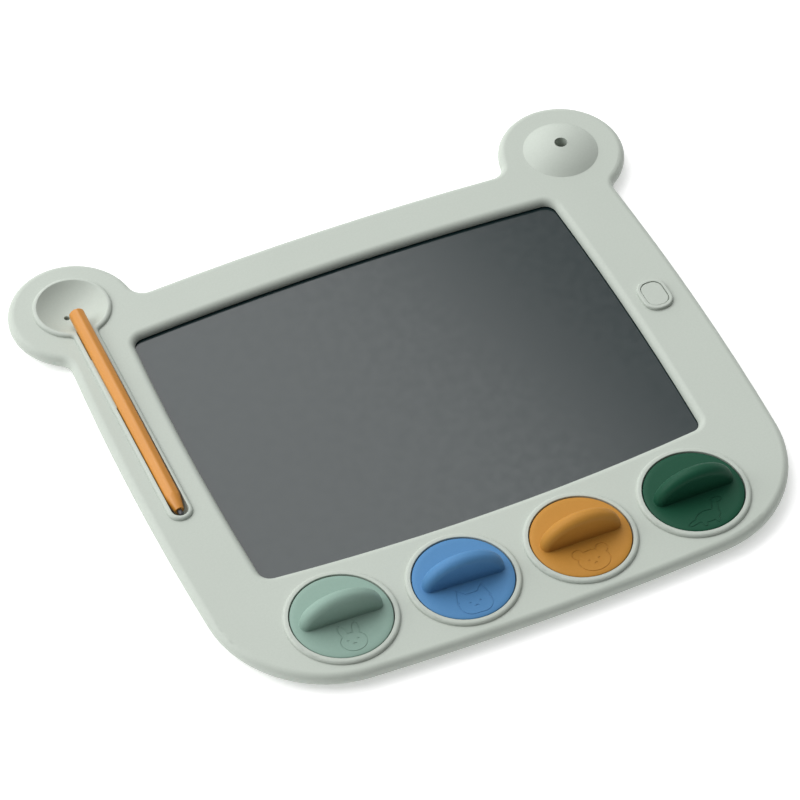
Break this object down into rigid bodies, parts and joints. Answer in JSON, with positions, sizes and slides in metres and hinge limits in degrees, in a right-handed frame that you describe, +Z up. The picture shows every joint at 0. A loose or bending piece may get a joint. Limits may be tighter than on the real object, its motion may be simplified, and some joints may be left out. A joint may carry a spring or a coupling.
{
  "type": "children's LCD drawing tablet",
  "caption": "Flat drawing tablet shaped like a bear's head, with an LCD writing screen, lift-out stamps with fin grips, a stylus in a tray and an erase button.",
  "frame": {"origin": "under the middle of the outline, at the level of the soles of the feet", "axes": "+X to the right seen from the front, +Y towards the ears, +Z up out of the screen"},
  "size_m": [0.3006, 0.2712, 0.0245],
  "materials": {
    "case_plastic": "fine matt texture, sage",
    "screw_steel": "zinc plated",
    "foot_rubber": "matt grey rubber",
    "screen_film": "satin dark grey film",
    "backing_plastic": "black",
    "gasket_foam": "black foam",
    "ribbon_film": "amber film",
    "board_laminate": "green solder mask",
    "coil_ferrite": "sintered ferrite",
    "cell_steel": "bright nickel",
    "contact_brass": "plated spring",
    "wire_red": "insulation",
    "wire_black": "insulation",
    "stylus_plastic": "satin orange",
    "nib_plastic": "dark grey",
    "teal_plastic": "matt pale teal",
    "blue_plastic": "matt mid blue",
    "ochre_plastic": "matt ochre",
    "green_plastic": "matt dark green",
    "pad_rubber": "grey stamp rubber"
  },
  "bodies": {
    "case": {"front_cover": "case_plastic", "rear_cover": "case_plastic", "case_screws": "screw_steel", "rubber_feet": "foot_rubber", "writing_film": "screen_film", "backing_plate": "backing_plastic", "screen_gasket": "gasket_foam", "flex_ribbon": "ribbon_film", "circuit_board": "board_laminate", "board_screws": "screw_steel", "controller_chip": "backing_plastic", "boost_coil": "coil_ferrite", "switch_housing": "backing_plastic", "coin_cell": "cell_steel", "negative_contact": "contact_brass", "positive_contact": "contact_brass", "positive_wire": "wire_red", "negative_wire": "wire_black"},
    "button": {"erase_button": "case_plastic"},
    "plunger": {"switch_plunger": "backing_plastic"},
    "door": {"battery_door": "case_plastic", "door_screws": "screw_steel"},
    "stylus": {"stylus_barrel": "stylus_plastic", "stylus_nib": "nib_plastic"},
    "stamp_teal": {"teal_stamp": "teal_plastic", "teal_stamp_pad": "pad_rubber"},
    "stamp_blue": {"blue_stamp": "blue_plastic", "blue_stamp_pad": "pad_rubber"},
    "stamp_ochre": {"ochre_stamp": "ochre_plastic", "ochre_stamp_pad": "pad_rubber"},
    "stamp_green": {"green_stamp": "green_plastic", "green_stamp_pad": "pad_rubber"}
  },
  "joints": [
    {"name": "button_press", "type": "slide", "parent": "case", "child": "button", "axis": [0, 0, -1], "range_m": [0, 0.0003], "stiffness_N_per_m": 400},
    {"name": "plunger_press", "type": "slide", "parent": "case", "child": "plunger", "axis": [0, 0, -1], "range_m": [0, 0.0003]},
    {"name": "door_removal", "type": "slide", "parent": "case", "child": "door", "axis": [0, 0, -1], "range_m": [0, 0.03]},
    {"name": "stylus_lift", "type": "slide", "parent": "case", "child": "stylus", "axis": [0, 0, 1], "range_m": [0, 0.04]},
    {"name": "teal_stamp_lift", "type": "slide", "parent": "case", "child": "stamp_teal", "axis": [0, 0, 1], "range_m": [0, 0.04]},
    {"name": "blue_stamp_lift", "type": "slide", "parent": "case", "child": "stamp_blue", "axis": [0, 0, 1], "range_m": [0, 0.04]},
    {"name": "ochre_stamp_lift", "type": "slide", "parent": "case", "child": "stamp_ochre", "axis": [0, 0, 1], "range_m": [0, 0.04]},
    {"name": "green_stamp_lift", "type": "slide", "parent": "case", "child": "stamp_green", "axis": [0, 0, 1], "range_m": [0, 0.04]}
  ],
  "couplings": [
    {"joint": "plunger_press", "follows": "button_press", "ratio": 1}
  ]
}
